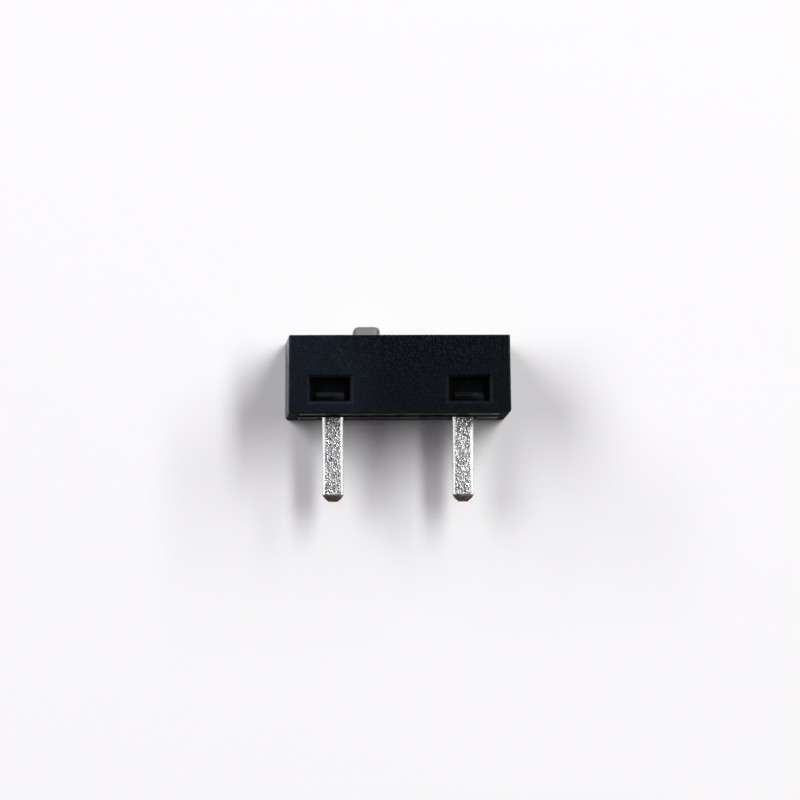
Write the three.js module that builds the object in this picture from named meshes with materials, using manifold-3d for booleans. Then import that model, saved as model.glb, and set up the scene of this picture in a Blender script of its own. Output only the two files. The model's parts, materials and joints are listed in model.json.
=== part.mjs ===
// A sealed subminiature snap-action switch: one circuit, two flat board pins, a sprung button.
//
// Millimetres, +Z up. The origin is on the seating plane, midway between the pins: the seating rib
// of the base stands on z = 0, the pins point down, the button points up, X runs along the long
// side, and the two large faces with their latch windows look along -Y and +Y.
//
// A five-sided cover snaps over a tray-shaped base, and the perimeter gasket lies between them. The
// two terminals and the rest stop are flat stampings that stand on edge in slots of the base's
// floor. The common terminal carries the snap blade at its anchor post, and holds the blade's bowed
// tongue in a notch of its pivot post. The plunger pushes the blade down between the two posts.

import * as THREE from 'three';
import { mergeVertices } from 'three/addons/utils/BufferGeometryUtils.js';
import Module from 'manifold-3d';

const wasm = await Module();
wasm.setup();

// ---------------------------------------------------------------- driving dimensions, millimetres

// Cover
const coverLength = 12.8; // along X, at its lower edge
const coverWidth = 5.8; // along Y, at its lower edge
const coverHeight = 4.5; // from its lower edge to the roof
const draftDegrees = 0.6; // each outer side leans in by this much
const coverWall = 0.6;
const roofThickness = 0.6;
const gasketShelf = 0.3; // width of the inner step that presses on the gasket
const roofEdgeRadius = 0.1;
const uprightEdgeRadius = 0.12;
const footEdgeRadius = 0.06; // lower edges of the two large faces
const footCornerRadius = 0.22; // lower corners of the two large faces
const cavityCornerRadius = 0.25;

// Latch windows, two in each large face, and the catches of the base in them
const windowPitch = 8.0;
const windowLength = 2.3;
const windowHeight = 1.33;
const windowSill = 0.71; // from the cover's lower edge to the inner opening
const windowChamfer = 0.2;
const catchSideGap = 0.34; // catch to the sides of its window
const catchReach = 0.3;
const catchFlat = 0.26; // upright face above the ledge
const catchRamp = 0.24; // height of the sloping top
const catchPlay = 0.02; // ledge to window sill
const reliefMargin = 0.15; // hollow above each catch, wider than the catch on each side
const reliefDepth = 0.22;

// Base
const seatRibHeight = 0.08; // what the switch stands on
const seatRibWidth = 1.5;
const slipFit = 0.05; // base in cover, each side
const baseWall = 0.5;
const baseFloor = 1.1;
const gasketLand = 0.2; // base rim above the windows
const gasketHeight = 0.3;
const gasketWidth = 0.45;
const gasketClearance = 0.03;

// Terminals and rest stop: flat stampings, all from one sheet
const sheetThickness = 0.6;
const pinPitch = 7.5;
const pinWidth = 1.22;
const pinLength = 4.84; // below the seating plane
const pinEdgeRadius = 0.2;
const pinTipCorner = 0.36; // how far each side of the tip is cut back
const pinTipBevel = 0.2; // how far each flat of the tip is cut back
const pinTipLength = 0.4;
const pinTipShoulder = 0.35; // share of the tip's cut-back that its upper half takes
const footDepth = 0.5; // a terminal's foot in the floor
const stopFootDepth = 0.35;
const pinRoot = 0.1; // pin's rounded section inside the foot
const postLeadIn = 0.08; // cut-back corners on top of a post
const pressGap = 0.01; // stamping in its slot, resin in its pocket
const sealMargin = 0.25; // resin round the pin
const sealDepth = 0.35; // above the base's underside
const sealRecess = 0.06; // resin above the seating plane

// Snap blade and contacts
const bladeThickness = 0.08;
const bladeWidth = 2.4;
const bladeTail = 0.5; // bar of the blade that hooks behind the anchor post
const bladeEndWidth = 1.1;
const railWidth = 0.6;
const tongueWidth = 0.8;
const tongueLength = 2.5;
const tongueBow = 0.6; // how far the middle of the tongue is drawn down
const tongueDrop = 0.22; // tongue's tip below the blade
const anchorInset = 0.8; // anchor from the base's end wall
const anchorPostWidth = 0.65;
const anchorNotch = 0.15;
const pivotPostWidth = 0.6;
const pivotNotch = 0.2;
const pivotFromButton = 1.8; // pivot post's notched face from the button's axis
const postRise = 0.22; // posts above the blade
const postGap = 0.1; // round a post in the blade
const hookGap = 0.02; // blade in the anchor notch, rivet under the stop, plunger on the blade
const contactGap = 0.5;
const contactPlay = 0.02; // left between the contacts with the button down
const contactWidth = 0.5;
const contactPostWidth = 0.8;
const openFootReach = 0.45; // foot past the contact post, on the inner side
const fixedContactLength = 0.8;
const fixedContactHeight = 0.2;
const movingContactLength = 1.0;
const movingContactHeight = 0.22;
const rivetRadius = 0.2;
const rivetHeadRadius = 0.35;
const rivetHeadHeight = 0.12;
const stopPostWidth = 0.4;
const stopArmHeight = 0.35;
const stopReach = 0.4; // arm past the contact's axis
const stopInset = 0.06; // stop from the base's end wall

// Button and its seal
const buttonOffset = -1.8; // along X, from the middle of the switch
const buttonWidth = 1.53; // along X
const buttonDepth = 2.0; // along Y
const buttonRise = 0.62; // above the roof, released
const buttonCornerRadius = 0.36;
const buttonTopRadius = 0.28;
const buttonFlat = 0.6; // level middle of the button's top, along X
const buttonCrown = 0.1; // how far the top falls from there to its sides
const buttonTravel = 0.4;
const buttonClearance = 0.06;
const openingChamfer = 0.08;
const collarLap = 0.02; // collar past the corners of the button
const collarHeight = 0.25;
const collarGap = 0.02; // below the roof, released
const grooveRadius = 0.6;
const grooveHeight = 0.25;
const flangeRadius = 0.95;
const flangeHeight = 0.25;
const noseRadius = 0.45;
const noseHeight = 0.17;
const noseRound = 0.1;
const bootMargin = 0.12; // clamped rim to the side walls
const bootRimHeight = 0.25;
const bootWeb = 0.12;
const bootClearance = 0.13; // web to collar
const bootGap = 0.02; // bead in its groove
const beadInset = 0.05; // bead from the collar's edge
const retainerThickness = 0.28;
const retainerClearance = 0.04; // hole round the web
const retainerMargin = 0.1; // retainer to the side walls
const retainerEdge = 0.5; // retainer past the middle of each peg
const pegRadius = 0.25;
const pegClearance = 0.02; // peg in its hole
const pegHeadRadius = 0.4;
const pegHeadHeight = 0.12;
const pegGap = 0.12; // boot's rim to peg

// ------------------------------------------------------------------------- places worked out

const tilt = THREE.MathUtils.degToRad(draftDegrees);
const footZ = seatRibHeight; // lower edge of the cover, and underside of the base
const roofZ = footZ + coverHeight;
const ceilingZ = roofZ - roofThickness;
const sillZ = footZ + windowSill;
const ledgeZ = sillZ + catchPlay;
const catchTopZ = ledgeZ + catchFlat + catchRamp;
const windowTopZ = sillZ + windowHeight;
const rimZ = windowTopZ + windowChamfer + gasketLand; // top of the base
const shelfZ = rimZ + gasketHeight; // the cover's step on the gasket
const floorZ = footZ + baseFloor;
const terminalFootZ = floorZ - footDepth;
const stopFootZ = floorZ - stopFootDepth;
const catchLength = windowLength - 2 * catchSideGap;
const reliefLength = catchLength + 2 * reliefMargin;

// Half sizes of the hollows and of what fits in them
const cavity = { x: coverLength / 2 - coverWall, y: coverWidth / 2 - coverWall };
const upperCavity = { x: cavity.x - gasketShelf, y: cavity.y - gasketShelf };
const baseOuter = { x: cavity.x - slipFit, y: cavity.y - slipFit };
const baseInner = { x: baseOuter.x - baseWall, y: baseOuter.y - baseWall };

// Heights on the plunger, from the underside of the roof down
const collarTop = -collarGap;
const collarBottom = collarTop - collarHeight;
const grooveBottom = collarBottom - grooveHeight;
const flangeBottom = grooveBottom - flangeHeight;
const noseTip = flangeBottom - noseHeight;

// Radii of the button's seal, from the collar outwards
const collarRadius =
  Math.hypot(buttonWidth / 2 - buttonCornerRadius, buttonDepth / 2 - buttonCornerRadius) +
  buttonCornerRadius +
  collarLap;
const beadRadius = collarRadius - beadInset;
const webRadius = collarRadius + bootClearance; // inner side of the web where it stands up
const retainerHoleRadius = webRadius + bootWeb + retainerClearance;
const bootRadius = upperCavity.y - bootMargin;
const pegOffset = bootRadius + pegGap + pegRadius;
const retainerTop = -bootRimHeight;
const retainerBottom = retainerTop - retainerThickness;

// Lever arms of the blade about its anchor, and its heights
const contactX = pinPitch / 2;
const anchorX = anchorInset - baseInner.x;
const pivotX = buttonOffset + pivotFromButton;
const buttonLever = buttonOffset - anchorX;
const pivotLever = pivotX - anchorX;
const contactLever = contactX - anchorX;
const bladeSwing = (contactGap - contactPlay) / contactLever; // radians, nearly
const freeTravel = buttonTravel - bladeSwing * buttonLever + hookGap;
const bladeHalf = bladeThickness / 2;
const bladeZ = ceilingZ + noseTip - freeTravel - bladeHalf; // middle of the blade, released
const postTopZ = bladeZ + postRise;
const contactPostZ = bladeZ - bladeHalf - movingContactHeight - contactGap - fixedContactHeight;
const stopZ = bladeZ + bladeHalf + rivetHeadHeight + hookGap;

// Where the stampings stand along X
const anchorPost = [anchorX - anchorNotch, anchorX - anchorNotch + anchorPostWidth];
const pivotPost = [pivotX - pivotPostWidth, pivotX];
const contactPost = [contactX - contactPostWidth / 2, contactX + contactPostWidth / 2];
const stopPost = [baseInner.x - stopInset - stopPostWidth, baseInner.x - stopInset];
const commonFoot = [
  Math.min(anchorPost[0] - bladeTail / 2, -contactX - pinWidth / 2),
  Math.max(pivotPost[1] + pivotNotch, -contactX + pinWidth / 2),
];
const openFoot = [contactPost[0] - openFootReach, contactPost[1]];

// -------------------------------------------------------------------------------- shape helpers

const arcSteps = 6; // facets in a quarter turn
const quarterTurn = Math.PI / 2;

// A closed geometry as a manifold-3d solid, and back.
const toSolid = (geometry) => {
  const bare = geometry.clone();
  bare.deleteAttribute('normal');
  bare.deleteAttribute('uv');
  const merged = mergeVertices(bare);
  const vertProperties = merged.attributes.position.array;
  const triVerts = new Uint32Array(merged.index.array);
  return new wasm.Manifold(new wasm.Mesh({ numProp: 3, vertProperties, triVerts }));
};

const fromSolid = (solid) => {
  const { vertProperties, triVerts } = solid.getMesh();
  const geometry = new THREE.BufferGeometry();
  geometry.setAttribute('position', new THREE.BufferAttribute(vertProperties, 3));
  geometry.setIndex(new THREE.BufferAttribute(triVerts, 1));
  return geometry;
};

const join = (...parts) =>
  fromSolid(parts.map(toSolid).reduce((whole, part) => whole.add(part)));

const cut = (body, ...tools) =>
  fromSolid(tools.map(toSolid).reduce((rest, tool) => rest.subtract(tool), toSolid(body)));

const common = (...parts) =>
  fromSolid(parts.map(toSolid).reduce((whole, part) => whole.intersect(part)));

// Where the x, y and depth of a drawing point when it is extruded along each axis.
const directions = {
  x: new THREE.Vector3(1, 0, 0),
  y: new THREE.Vector3(0, 1, 0),
  z: new THREE.Vector3(0, 0, 1),
};
const drawnFor = {
  x: [directions.y, directions.z, directions.x],
  y: [directions.x, directions.z, directions.y.clone().negate()],
  z: [directions.x, directions.y, directions.z],
};

// The drawn shape, extruded from start to end along one axis.
const prism = (shape, axis, start, end, bevel = { bevelEnabled: false }) => {
  const geometry = new THREE.ExtrudeGeometry(shape, {
    depth: end - start,
    curveSegments: arcSteps,
    ...bevel,
  });
  const foot = axis === 'y' ? end : start; // along Y the depth points back
  return geometry
    .applyMatrix4(new THREE.Matrix4().makeBasis(...drawnFor[axis]))
    .translate(...directions[axis].clone().multiplyScalar(foot).toArray());
};

// A one-step bevel that widens the extruded shape by its size.
const flare = (size) => ({
  bevelEnabled: true,
  bevelThickness: size,
  bevelSize: size,
  bevelSegments: 1,
});

const polygon = (points) => new THREE.Shape(points.map(([x, y]) => new THREE.Vector2(x, y)));

const rectangle = ([x0, x1], [y0, y1]) => polygon([[x0, y0], [x1, y0], [x1, y1], [x0, y1]]);

const block = (xRange, yRange, [z0, z1]) => prism(rectangle(xRange, yRange), 'z', z0, z1);

// A rectangle round the origin, with half sizes and round corners.
const roundedRectangle = (halfX, halfY, radius) => {
  const x = halfX - radius;
  const y = halfY - radius;
  return new THREE.Shape()
    .absarc(x, y, radius, 0, quarterTurn)
    .absarc(-x, y, radius, quarterTurn, 2 * quarterTurn)
    .absarc(-x, -y, radius, 2 * quarterTurn, 3 * quarterTurn)
    .absarc(x, -y, radius, 3 * quarterTurn, 4 * quarterTurn);
};

const circle = (x, radius) => new THREE.Path().absarc(x, 0, radius, 0, 4 * quarterTurn);

// The outline of a strip of even thickness along a curve, as points.
const ribbon = (curve, thickness) => {
  const steps = 2 * arcSteps;
  const edge = (offset) =>
    Array.from({ length: steps + 1 }, (_, i) => {
      const middle = curve.getPoint(i / steps);
      const along = curve.getTangent(i / steps);
      return [middle.x - along.y * offset, middle.y + along.x * offset];
    });
  return [...edge(thickness / 2), ...edge(-thickness / 2).reverse()];
};

// A solid of revolution about Z. The profile's [radius, z] points run upwards on its outer side.
const revolve = (profile) =>
  new THREE.LatheGeometry(
    profile.map(([radius, z]) => new THREE.Vector2(radius, z)),
    4 * arcSteps,
  ).rotateX(quarterTurn);

const cylinder = (radius, z0, z1) => revolve([[0, z0], [radius, z0], [radius, z1], [0, z1]]);

// A ring with a rectangular section.
const ring = ([r0, r1], [z0, z1]) => revolve([[r0, z0], [r1, z0], [r1, z1], [r0, z1], [r0, z0]]);

// A thing that is modelled on the +Y face at x = 0, set at all four latch windows.
const atWindows = (geometry) =>
  [-windowPitch / 2, windowPitch / 2].flatMap((x) => {
    const there = geometry.clone().translate(x, 0, 0);
    return [there, there.clone().rotateZ(2 * quarterTurn)];
  });

// ------------------------------------------------------------------------------------ cover

// One outline of the drafted shell: wide at the foot, rounded at the foot and at the roof.
const draftedOutline = (halfFoot, footRadius) => {
  const lean = (height) => height * Math.tan(tilt);
  const footX = halfFoot - footRadius - lean(footRadius);
  const footY = footZ + footRadius;
  const roofX = halfFoot - roofEdgeRadius - lean(coverHeight);
  const roofY = roofZ - roofEdgeRadius;
  return new THREE.Shape()
    .absarc(footX, footY, footRadius, -quarterTurn, tilt)
    .absarc(roofX, roofY, roofEdgeRadius, tilt, quarterTurn)
    .absarc(-roofX, roofY, roofEdgeRadius, quarterTurn, 2 * quarterTurn - tilt)
    .absarc(-footX, footY, footRadius, 2 * quarterTurn - tilt, 3 * quarterTurn);
};

// The same shell seen from above: round upright edges that lean in with the sides.
const draftedColumn = () => {
  const outline = roundedRectangle(coverLength / 2, coverWidth / 2, uprightEdgeRadius);
  const column = prism(outline, 'z', footZ, roofZ);
  const points = column.attributes.position;
  for (let i = 0; i < points.count; i += 1) {
    const lean = (points.getZ(i) - footZ) * Math.tan(tilt);
    points.setX(i, points.getX(i) - Math.sign(points.getX(i)) * lean);
    points.setY(i, points.getY(i) - Math.sign(points.getY(i)) * lean);
  }
  return column;
};

// The opening in a large face, chamfered all round where it meets the face.
const latchWindow = () => {
  const half = windowLength / 2;
  const opening = rectangle([-half, half], [sillZ, windowTopZ]);
  const face = coverWidth / 2;
  return join(
    prism(opening, 'y', cavity.y - coverWall / 2, face),
    prism(opening, 'y', face, face + coverWall, flare(windowChamfer)),
  );
};

const buttonOutline = (grow) =>
  roundedRectangle(buttonWidth / 2 + grow, buttonDepth / 2 + grow, buttonCornerRadius + grow);

// The hole for the button, with a lead-in at the roof.
const buttonOpening = () => {
  const outline = buttonOutline(buttonClearance);
  return join(
    prism(outline, 'z', ceilingZ - roofThickness / 2, roofZ),
    prism(outline, 'z', roofZ, roofZ + roofThickness, flare(openingChamfer)),
  ).translate(buttonOffset, 0, 0);
};

// A peg under the roof, with the head that was formed over the retainer.
const roofPeg = (side) =>
  revolve([
    [0, retainerBottom - pegHeadHeight],
    [pegHeadRadius - pegHeadHeight / 2, retainerBottom - pegHeadHeight],
    [pegHeadRadius, retainerBottom - pegHeadHeight / 2],
    [pegHeadRadius, retainerBottom],
    [pegRadius, retainerBottom],
    [pegRadius, roofThickness / 2],
    [0, roofThickness / 2],
  ]).translate(buttonOffset + side * pegOffset, 0, ceilingZ);

const makeCover = () => {
  const outside = common(
    prism(draftedOutline(coverLength / 2, footCornerRadius), 'y', -coverWidth, coverWidth),
    prism(draftedOutline(coverWidth / 2, footEdgeRadius), 'x', -coverLength, coverLength),
    draftedColumn(),
  );
  const lowerHollow = roundedRectangle(cavity.x, cavity.y, cavityCornerRadius);
  const upperHollow = roundedRectangle(upperCavity.x, upperCavity.y, cavityCornerRadius);
  const shell = cut(
    outside,
    prism(lowerHollow, 'z', footZ - coverWall, shelfZ),
    prism(upperHollow, 'z', footZ, ceilingZ),
    buttonOpening(),
    ...atWindows(latchWindow()),
  );
  return join(shell, roofPeg(-1), roofPeg(1));
};

// ------------------------------------------------------------------------------------- base

const pinOutline = (grow) =>
  roundedRectangle(pinWidth / 2 + grow, sheetThickness / 2 + grow, pinEdgeRadius + grow);

// The floor's slot for the foot of one stamping, open at the top.
const floorSlot = ([x0, x1], footBottom) => {
  const half = sheetThickness / 2 + pressGap;
  return block([x0 - pressGap, x1 + pressGap], [-half, half], [footBottom, floorZ + footDepth]);
};

// The way down for one pin, and the pocket that is filled with resin round it.
const pinPassage = (x) =>
  join(
    prism(pinOutline(pressGap), 'z', -footZ, terminalFootZ + pinRoot),
    prism(pinOutline(sealMargin), 'z', -footZ, footZ + sealDepth),
  ).translate(x, 0, 0);

// A catch on the outside of the base: a level ledge below, a slope on top.
const baseCatch = () => {
  const wall = baseOuter.y;
  const root = wall - baseWall / 2;
  const tip = wall + catchReach;
  const section = polygon([
    [root, ledgeZ],
    [tip, ledgeZ],
    [tip, ledgeZ + catchFlat],
    [wall, catchTopZ],
    [root, catchTopZ],
  ]);
  return prism(section, 'x', -catchLength / 2, catchLength / 2);
};

// The hollow in the base's wall above a catch, which leaves a thin web that can flex.
const catchRelief = () =>
  block(
    [-reliefLength / 2, reliefLength / 2],
    [baseOuter.y - reliefDepth, baseOuter.y + catchReach],
    [catchTopZ, windowTopZ + windowChamfer / 2],
  );

const makeBase = () => {
  const outline = roundedRectangle(baseOuter.x, baseOuter.y, cavityCornerRadius - slipFit);
  const inline = roundedRectangle(baseInner.x, baseInner.y, cavityCornerRadius);
  const ribHalf = seatRibWidth / 2;
  return cut(
    join(
      prism(outline, 'z', footZ, rimZ),
      block([-baseOuter.x, baseOuter.x], [-ribHalf, ribHalf], [0, footZ + seatRibHeight]),
      ...atWindows(baseCatch()),
    ),
    prism(inline, 'z', floorZ, rimZ + baseFloor),
    ...atWindows(catchRelief()),
    floorSlot(commonFoot, terminalFootZ),
    floorSlot(openFoot, terminalFootZ),
    floorSlot(stopPost, stopFootZ),
    pinPassage(-contactX),
    pinPassage(contactX),
  );
};

const makeGasket = () => {
  const x = cavity.x - gasketClearance;
  const y = cavity.y - gasketClearance;
  const outline = roundedRectangle(x, y, cavityCornerRadius - gasketClearance);
  outline.holes.push(roundedRectangle(x - gasketWidth, y - gasketWidth, cavityCornerRadius));
  return prism(outline, 'z', rimZ, shelfZ);
};

// The resin round a pin.
const makeSeal = () =>
  cut(
    prism(pinOutline(sealMargin - pressGap), 'z', sealRecess, footZ + sealDepth),
    prism(pinOutline(pressGap), 'z', -sealDepth, footZ + 2 * sealDepth),
  );

// -------------------------------------------------------------------------------- stampings

// A pin: a flat bar with rounded edges and a tip that is cut back on all four sides.
const makePin = () => {
  const top = terminalFootZ + pinRoot;
  const tipZ = -pinLength;
  const shoulderZ = tipZ + pinTipLength / 2;
  const pointed = (half, cutBack) =>
    polygon([
      [-half, top],
      [-half, tipZ + pinTipLength],
      [-half + cutBack * pinTipShoulder, shoulderZ],
      [-half + cutBack, tipZ],
      [half - cutBack, tipZ],
      [half - cutBack * pinTipShoulder, shoulderZ],
      [half, tipZ + pinTipLength],
      [half, top],
    ]);
  return common(
    prism(pinOutline(0), 'z', tipZ, top),
    prism(pointed(pinWidth / 2, pinTipCorner), 'y', -sheetThickness, sheetThickness),
    prism(pointed(sheetThickness / 2, pinTipBevel), 'x', -pinWidth, pinWidth),
  );
};

// A flat stamping that stands on edge in the XZ plane.
const stamping = (points) =>
  prism(polygon(points), 'y', -sheetThickness / 2, sheetThickness / 2);

// The pin, the foot in the floor, the anchor post at the left and the pivot post at the right.
const makeCommonTerminal = () => {
  const hookHalf = bladeHalf + hookGap; // anchor notch at its bottom
  const tongueTopZ = bladeZ - tongueDrop + bladeThickness; // pivot notch at its bottom
  const tongueLowZ = bladeZ - tongueDrop - bladeThickness - bladeSwing * pivotLever;
  const plate = stamping([
    [commonFoot[0], terminalFootZ],
    [commonFoot[1], terminalFootZ],
    [commonFoot[1], floorZ],
    [pivotPost[1], floorZ],
    [pivotPost[1], tongueLowZ - pivotNotch / 2],
    [pivotPost[1] - pivotNotch, tongueLowZ],
    [pivotPost[1] - pivotNotch, tongueTopZ],
    [pivotPost[1], tongueTopZ + pivotNotch / 2],
    [pivotPost[1], postTopZ - postLeadIn],
    [pivotPost[1] - postLeadIn, postTopZ],
    [pivotPost[0] + postLeadIn, postTopZ],
    [pivotPost[0], postTopZ - postLeadIn],
    [pivotPost[0], floorZ],
    [anchorPost[1], floorZ],
    [anchorPost[1], postTopZ - postLeadIn],
    [anchorPost[1] - postLeadIn, postTopZ],
    [anchorPost[0] + postLeadIn, postTopZ],
    [anchorPost[0], postTopZ - postLeadIn],
    [anchorPost[0], bladeZ + hookHalf + anchorNotch / 2],
    [anchorX, bladeZ + hookHalf],
    [anchorX, bladeZ - hookHalf],
    [anchorPost[0], bladeZ - hookHalf - anchorNotch / 2],
    [anchorPost[0], floorZ],
    [commonFoot[0], floorZ],
  ]);
  return join(plate, makePin().translate(-contactX, 0, 0));
};

// The pin and the post that carries the fixed contact on its edge.
const makeOpenTerminal = () => {
  const plate = stamping([
    [openFoot[0], terminalFootZ],
    [openFoot[1], terminalFootZ],
    [contactPost[1], contactPostZ],
    [contactPost[0], contactPostZ],
    [contactPost[0], floorZ],
    [openFoot[0], floorZ],
  ]);
  return join(plate, makePin().translate(contactX, 0, 0));
};

// The post at the end wall, with an arm over the blade's end.
const makeRestStop = () =>
  stamping([
    [stopPost[0], stopFootZ],
    [stopPost[1], stopFootZ],
    [stopPost[1], stopZ + stopArmHeight - postLeadIn],
    [stopPost[1] - postLeadIn, stopZ + stopArmHeight],
    [contactX - stopReach, stopZ + stopArmHeight],
    [contactX - stopReach, stopZ],
    [stopPost[0], stopZ],
  ]);

// --------------------------------------------------------------------------- snap mechanism

// The section of a contact bar: flat at the foot, half round above it.
const contactSection = (height) => {
  const dome = new THREE.EllipseCurve(0, 0, contactWidth / 2, height, 0, 2 * quarterTurn);
  return new THREE.Shape(dome.getPoints(2 * arcSteps));
};

const makeFixedContact = () =>
  prism(contactSection(fixedContactHeight), 'x', -fixedContactLength / 2, fixedContactLength / 2);

// A bar across the blade's underside, a shank through the blade and a head on top of it. The origin
// is in the middle of the blade's thickness.
const makeMovingContact = () => {
  const half = movingContactLength / 2;
  return join(
    prism(contactSection(movingContactHeight), 'y', -half, half)
      .rotateX(2 * quarterTurn)
      .translate(0, 0, -bladeHalf),
    cylinder(rivetRadius, -bladeHalf - movingContactHeight / 2, bladeHalf + rivetHeadHeight / 2),
    cylinder(rivetHeadRadius, bladeHalf, bladeHalf + rivetHeadHeight),
  );
};

// The bowed tongue between its tip in the pivot post's notch and its root in the blade.
const makeTongue = (tip, root) => {
  const curve = new THREE.QuadraticBezierCurve(
    new THREE.Vector2(tip, -tongueDrop),
    new THREE.Vector2((tip + root) / 2, -tongueDrop / 2 - tongueBow),
    new THREE.Vector2(root + bladeThickness, 0),
  );
  return prism(polygon(ribbon(curve, bladeThickness)), 'y', -tongueWidth / 2, tongueWidth / 2);
};

// The blade in the frame of its anchor: x is the lever arm, z = 0 the middle of its thickness.
const makeSnapBlade = () => {
  const half = bladeWidth / 2;
  const endHalf = bladeEndWidth / 2;
  const postHalf = sheetThickness / 2 + postGap;
  const railHalf = half - railWidth;
  const tip = pivotLever - pivotNotch / 2;
  const root = tip + tongueLength;
  const outline = polygon([
    [-bladeTail, -half],
    [root, -half],
    [contactLever - endHalf, -endHalf],
    [contactLever + endHalf, -endHalf],
    [contactLever + endHalf, endHalf],
    [contactLever - endHalf, endHalf],
    [root, half],
    [-bladeTail, half],
  ]);
  outline.holes.push(
    rectangle([-hookGap, anchorPost[1] - anchorX + postGap], [-postHalf, postHalf]),
    rectangle([pivotPost[0] - anchorX - postGap, root], [-railHalf, railHalf]),
    circle(contactLever, rivetRadius + pressGap),
  );
  return join(prism(outline, 'z', -bladeHalf, bladeHalf), makeTongue(tip, root));
};

// -------------------------------------------------------------------------- button and seal

// All three are in the button's own frame: Z is its axis, z = 0 the underside of the roof.

// The button from the front: level in the middle of its top, falling away to both sides.
const crownedOutline = (bottom, top) => {
  const flatHalf = buttonFlat / 2;
  const steps = 2 * arcSteps;
  const side = (sign) =>
    Array.from({ length: steps + 1 }, (_, i) => {
      const x = flatHalf + ((buttonWidth - flatHalf) * i) / steps;
      const share = (x - flatHalf) / (buttonWidth / 2 - flatHalf);
      return [sign * x, top - buttonCrown * share ** 2];
    });
  return polygon([
    [-buttonWidth, bottom],
    [buttonWidth, bottom],
    ...side(1).reverse(),
    ...side(-1),
  ]);
};

const makePlunger = () => {
  const stem = revolve([
    [0, noseTip],
    [noseRadius - noseRound, noseTip],
    [noseRadius, noseTip + noseRound],
    [noseRadius, flangeBottom],
    [flangeRadius, flangeBottom],
    [flangeRadius, grooveBottom],
    [grooveRadius, grooveBottom],
    [grooveRadius, collarBottom],
    [collarRadius, collarBottom],
    [collarRadius, collarTop],
    [0, collarTop],
  ]);
  const crownZ = roofThickness + buttonRise;
  const head = prism(buttonOutline(0), 'z', collarBottom, crownZ - buttonTopRadius, {
    bevelEnabled: true,
    bevelThickness: buttonTopRadius,
    bevelSize: buttonTopRadius,
    bevelOffset: -buttonTopRadius,
    bevelSegments: arcSteps,
  });
  const crown = crownedOutline(collarTop - collarHeight / 2, crownZ);
  return join(stem, common(head, prism(crown, 'y', -buttonDepth, buttonDepth)));
};

// A bead in the plunger's groove, a web that rolls with the plunger, and a clamped rim.
const makeBoot = () => {
  const beadBottom = grooveBottom + bootGap;
  const beadTop = collarBottom - bootGap;
  const wallX = webRadius + bootWeb / 2;
  const web = new THREE.QuadraticBezierCurve(
    new THREE.Vector2(beadRadius - bootWeb, beadBottom + bootWeb / 2),
    new THREE.Vector2(wallX, beadBottom + bootWeb / 2),
    new THREE.Vector2(wallX, -bootRimHeight + bootWeb),
  );
  const webOutline = ribbon(web, bootWeb).reverse();
  return join(
    ring([grooveRadius + bootGap, beadRadius], [beadBottom, beadTop]),
    revolve([...webOutline, webOutline[0]]),
    ring([webRadius, bootRadius], [-bootRimHeight, 0]),
  );
};

const makeRetainer = () => {
  const plate = roundedRectangle(
    pegOffset + retainerEdge,
    upperCavity.y - retainerMargin,
    cavityCornerRadius,
  );
  plate.holes.push(
    circle(0, retainerHoleRadius),
    circle(-pegOffset, pegRadius + pegClearance),
    circle(pegOffset, pegRadius + pegClearance),
  );
  return prism(plate, 'z', retainerBottom, retainerTop);
};

// ---------------------------------------------------------------------------------- assembly

const finish = (color, roughness, metalness = 0) =>
  new THREE.MeshStandardMaterial({ color, roughness, metalness });

const finishes = {
  blackShell: finish(0x191e26, 0.6),
  blackBase: finish(0x0c0e12, 0.35),
  greyButton: finish(0x918f8e, 0.45),
  tinnedBrass: finish(0xb9bcc0, 0.35, 1),
  springBronze: finish(0xb98b4e, 0.35, 1),
  silver: finish(0xd8d8d4, 0.3, 1),
  zincSteel: finish(0x9a9ea3, 0.45, 1),
  blackResin: finish(0x101010, 0.3),
  redSilicone: finish(0x7d2b20, 0.7),
  darkRubber: finish(0x26282a, 0.8),
};

// A named mesh with flat facets, set at a height and a place along X in its group.
const piece = (name, geometry, material, x = 0, z = 0) => {
  const faceted = geometry.index ? geometry.toNonIndexed() : geometry;
  faceted.computeVertexNormals();
  const mesh = new THREE.Mesh(faceted, material);
  mesh.name = name;
  mesh.position.set(x, 0, z);
  return mesh;
};

const housing = new THREE.Group().add(
  piece('cover', makeCover(), finishes.blackShell),
  piece('base', makeBase(), finishes.blackBase),
  piece('perimeter_gasket', makeGasket(), finishes.darkRubber),
);

const circuit = new THREE.Group().add(
  piece('common_terminal', makeCommonTerminal(), finishes.tinnedBrass),
  piece('open_terminal', makeOpenTerminal(), finishes.tinnedBrass),
  piece('rest_stop', makeRestStop(), finishes.tinnedBrass),
  piece('fixed_contact', makeFixedContact(), finishes.silver, contactX, contactPostZ),
  piece('common_seal', makeSeal(), finishes.blackResin, -contactX),
  piece('open_seal', makeSeal(), finishes.blackResin, contactX),
);

const snap = new THREE.Group().add(
  piece('snap_blade', makeSnapBlade(), finishes.springBronze),
  piece('moving_contact', makeMovingContact(), finishes.silver, contactLever),
);
snap.position.set(anchorX, 0, bladeZ);

const button = new THREE.Group().add(
  piece('plunger', makePlunger(), finishes.greyButton),
  piece('plunger_boot', makeBoot(), finishes.redSilicone),
  piece('boot_retainer', makeRetainer(), finishes.zincSteel),
);
button.position.set(buttonOffset, 0, ceilingZ);

const waterproofSwitch = new THREE.Group().add(housing, circuit, snap, button);

export default waterproofSwitch;
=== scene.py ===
"""Looks of a sealed snap-action switch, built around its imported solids.

Metres, in the frame of the solids: Z is the button's axis, the pins point down, and the large faces
with the latch windows look along -Y and +Y. Each operator finishes one piece or a group of like
pieces; the last one sets the table, the lamps and the camera.
"""

import json
import math

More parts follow.
